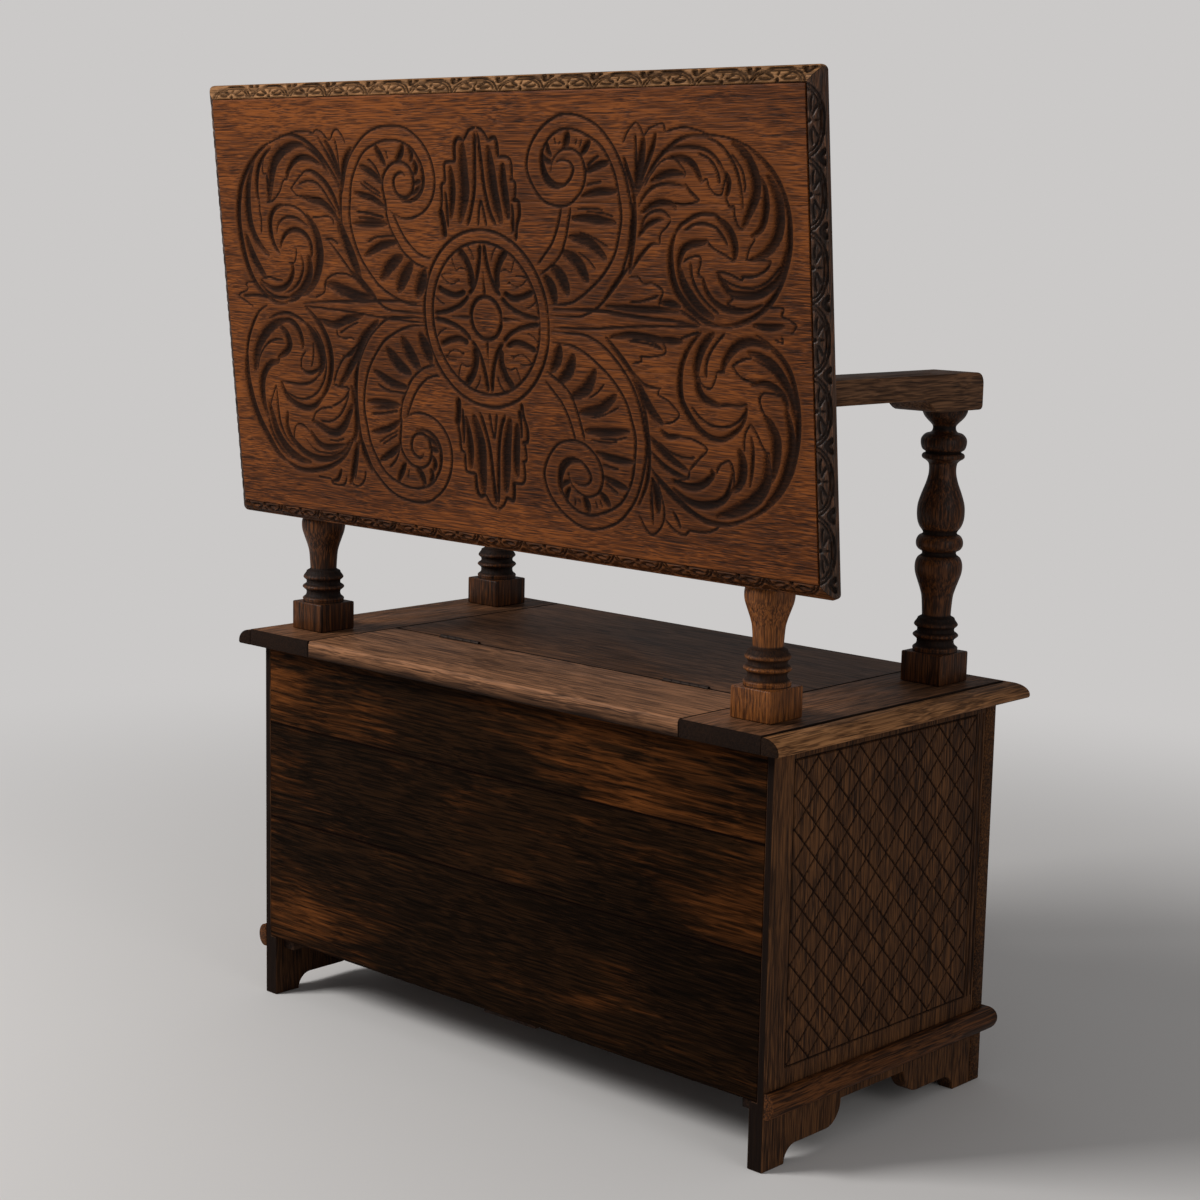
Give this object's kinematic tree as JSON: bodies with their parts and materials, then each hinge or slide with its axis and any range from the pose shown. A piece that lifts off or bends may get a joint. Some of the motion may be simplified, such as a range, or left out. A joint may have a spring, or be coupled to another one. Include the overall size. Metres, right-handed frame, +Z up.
{
  "type": "settle bench",
  "caption": "Carved oak settle bench with a lidded box seat, turned arm columns and a back that tilts forward over the arms to make a table.",
  "frame": {"origin": "on the floor, in the middle of the bounding box's length and depth, with the back upright", "axes": "+Z up, +Y to the rear, where the carved face of the back looks, -Y the side the sitter faces, +X the sitter's left"},
  "size_m": [0.892, 0.4592, 1.0806],
  "materials": {
    "oak_top": "carved oak, stained warm brown and waxed, dark in the cuts",
    "oak_seat": "worn grey-brown oak with a dull wax",
    "oak_chest": "dark stained oak with a dull wax",
    "oak_turned": "turned oak, dark stain, polished",
    "stained_pine": "dark stained softwood, unpolished",
    "black_iron": "plain butt hinges, blackened iron"
  },
  "bodies": {
    "bench": {"seat_rear_rail": "oak_seat", "seat_end_board_left": "oak_seat", "seat_end_board_right": "oak_seat", "seat_end_nosing_left": "oak_seat", "seat_end_nosing_right": "oak_seat", "seat_front_nosing_left": "oak_seat", "seat_front_nosing_right": "oak_seat", "arm_left": "oak_seat", "arm_right": "oak_seat", "end_board_left": "oak_chest", "end_board_right": "oak_chest", "front_board": "oak_chest", "base_moulding_left": "oak_chest", "base_moulding_right": "oak_chest", "base_moulding_front": "oak_chest", "rear_column_left": "oak_turned", "rear_column_right": "oak_turned", "front_column_left": "oak_turned", "front_column_right": "oak_turned", "back_plank_lower": "stained_pine", "back_plank_middle": "stained_pine", "back_plank_upper": "stained_pine", "bottom_board_front": "stained_pine", "bottom_board_rear": "stained_pine", "bottom_batten": "stained_pine", "bottom_cleat_left": "stained_pine", "bottom_cleat_right": "stained_pine", "hinge_fixed_leaf_left": "black_iron", "hinge_fixed_leaf_right": "black_iron", "hinge_pin_left": "black_iron", "hinge_pin_right": "black_iron"},
    "lid": {"lid_panel": "oak_seat", "lid_nosing": "oak_seat", "lid_batten_left": "stained_pine", "lid_batten_right": "stained_pine", "hinge_moving_leaf_left": "black_iron", "hinge_moving_leaf_right": "black_iron"},
    "pegs": {"pivot_peg_left": "oak_turned", "pivot_peg_right": "oak_turned"},
    "table_top": {"top_plank_lower": "oak_top", "top_plank_middle": "oak_top", "top_plank_upper": "oak_top", "edge_moulding_upper": "oak_top", "edge_moulding_lower": "oak_top", "edge_moulding_left": "oak_top", "edge_moulding_right": "oak_top", "top_batten_left": "oak_top", "top_batten_right": "oak_top"}
  },
  "joints": [
    {"name": "lid_hinge", "type": "hinge", "parent": "bench", "child": "lid", "pos_m": [0, 0.07255, 0.4512], "axis": [-1, 0, 0], "range_deg": [0, 107]},
    {"name": "top_tilt", "type": "hinge", "parent": "bench", "child": "pegs", "pos_m": [0, 0.1633, 0.7661], "axis": [1, 0, 0], "range_deg": [0, 95.7]},
    {"name": "top_slide", "type": "slide", "parent": "pegs", "child": "table_top", "axis": [0, 0.0993, 0.9951], "range_m": [0, 0.115]}
  ]
}
